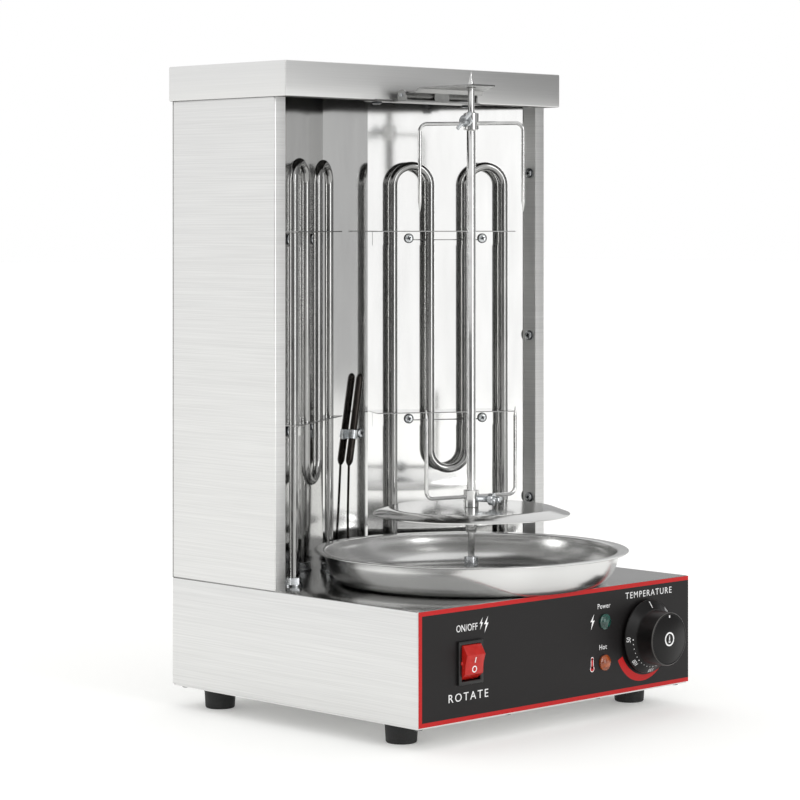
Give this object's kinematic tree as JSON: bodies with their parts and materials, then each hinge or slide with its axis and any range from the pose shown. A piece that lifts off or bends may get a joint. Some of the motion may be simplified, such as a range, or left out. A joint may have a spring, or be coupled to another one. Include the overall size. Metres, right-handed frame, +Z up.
{
  "type": "rotisserie oven",
  "caption": "Countertop vertical rotisserie: motor-driven spit with forks and disc over a drip pan, tube elements on a folded reflector, capped cabinet on a base with knob and switch.",
  "frame": {"origin": "on the floor under the middle of the bounding box", "axes": "+Z up along the spit, -Y towards the front panel with its knob and switch, +X to the viewer's right"},
  "size_m": [0.305, 0.3194, 0.5036],
  "materials": {
    "brushed_steel": "brushed stainless sheet, fine lines along the sheet",
    "polished_steel": "polished stainless steel",
    "element_steel": "smooth grey element sheath, satin",
    "zinc_plate": "zinc plated, satin",
    "thermostat_copper": "dull plated copper",
    "thermostat_ceramic": "matte moulded body",
    "motor_can": "drawn can, satin",
    "bush_bronze": "sintered bronze",
    "foot_rubber": "matte black rubber",
    "label_print": "printed polycarbonate overlay, satin black",
    "black_plastic": "black nylon",
    "knob_plastic": "moulded black phenolic, satin",
    "rocker_red": "glossy translucent red",
    "lens_green": "translucent green lens",
    "lens_amber": "translucent amber lens",
    "pale_plastic": "pale moulded nylon"
  },
  "bodies": {
    "stand": {"base_shell": "brushed_steel", "left_side_panel": "brushed_steel", "right_side_panel": "brushed_steel", "rear_cover": "brushed_steel", "top_cap": "brushed_steel", "bottom_plate": "brushed_steel", "reflector": "polished_steel", "holder_base": "polished_steel", "lower_bracket_left": "polished_steel", "lower_bracket_right": "polished_steel", "upper_bracket_left": "polished_steel", "upper_bracket_right": "polished_steel", "heating_element_left": "element_steel", "heating_element_right": "element_steel", "bottom_screws": "zinc_plate", "foot_screws": "zinc_plate", "rear_screws": "zinc_plate", "reflector_screws": "zinc_plate", "cap_screws": "zinc_plate", "element_nuts": "zinc_plate", "bracket_screws": "zinc_plate", "bulb_clip": "zinc_plate", "bulb_clip_screw": "zinc_plate", "thermostat_screws": "zinc_plate", "motor_posts": "zinc_plate", "motor_screws": "zinc_plate", "holder_screws": "zinc_plate", "holder_pin": "zinc_plate", "thermostat_bulb": "thermostat_copper", "thermostat_body": "thermostat_ceramic", "gear_motor": "motor_can", "shaft_bush": "bush_bronze", "foot_front_left": "foot_rubber", "foot_front_right": "foot_rubber", "foot_rear_left": "foot_rubber", "foot_rear_right": "foot_rubber", "front_label": "label_print", "switch_housing": "black_plastic", "cord_gland": "black_plastic", "power_lamp_lens": "lens_green", "heat_lamp_lens": "lens_amber", "lamp_bodies": "pale_plastic", "terminal_block": "pale_plastic"},
    "drive": {"drive_shaft": "zinc_plate", "drive_socket": "polished_steel"},
    "spit": {"spit_rod": "polished_steel", "spit_collar": "polished_steel", "drive_pin": "zinc_plate"},
    "disc": {"meat_disc": "polished_steel"},
    "lower_fork": {"lower_fork_hub": "polished_steel", "lower_fork_prongs": "polished_steel"},
    "lower_clamp": {"lower_clamp_screw": "polished_steel"},
    "upper_fork": {"upper_fork_hub": "polished_steel", "upper_fork_prongs": "polished_steel"},
    "upper_clamp": {"upper_clamp_screw": "polished_steel"},
    "holder": {"holder_arm": "polished_steel"},
    "pan": {"drip_pan": "polished_steel"},
    "dial": {"knob": "knob_plastic", "thermostat_spindle": "zinc_plate"},
    "rocker": {"switch_rocker": "rocker_red"}
  },
  "joints": [
    {"name": "spit_spin", "type": "hinge", "parent": "stand", "child": "drive", "pos_m": [0, -0.03725, 0.1015], "axis": [0, 0, 1], "continuous": true},
    {"name": "spit_lift", "type": "slide", "parent": "drive", "child": "spit", "axis": [0, 0, 1], "range_m": [0, 0.015]},
    {"name": "disc_slide", "type": "slide", "parent": "spit", "child": "disc", "axis": [0, 0, 1], "range_m": [0, 0.05]},
    {"name": "lower_fork_slide", "type": "slide", "parent": "disc", "child": "lower_fork", "axis": [0, 0, 1], "range_m": [0, 0.03]},
    {"name": "lower_clamp_turn", "type": "hinge", "parent": "lower_fork", "child": "lower_clamp", "pos_m": [0, -0.03725, 0.1662], "axis": [0.342, -0.9397, 0], "range_deg": [-30, 30]},
    {"name": "upper_fork_slide", "type": "slide", "parent": "spit", "child": "upper_fork", "axis": [0, 0, 1], "range_m": [-0.15, 0]},
    {"name": "upper_clamp_turn", "type": "hinge", "parent": "upper_fork", "child": "upper_clamp", "pos_m": [0, -0.03725, 0.4596], "axis": [-0.866, -0.5, 0], "range_deg": [0, 360]},
    {"name": "holder_swing", "type": "hinge", "parent": "stand", "child": "holder", "pos_m": [0, -0.00075, 0.48], "axis": [-1, 0, 0], "range_deg": [0, 85]},
    {"name": "pan_lift", "type": "slide", "parent": "stand", "child": "pan", "axis": [0, 0, 1], "range_m": [0, 0.025]},
    {"name": "knob_turn", "type": "hinge", "parent": "stand", "child": "dial", "pos_m": [0.098, -0.13075, 0.059], "axis": [0, 1, 0], "range_deg": [0, 280]},
    {"name": "rocker_tilt", "type": "hinge", "parent": "stand", "child": "rocker", "pos_m": [-0.098, -0.13215, 0.0602], "axis": [-1, 0, 0], "range_deg": [0, 20]}
  ]
}
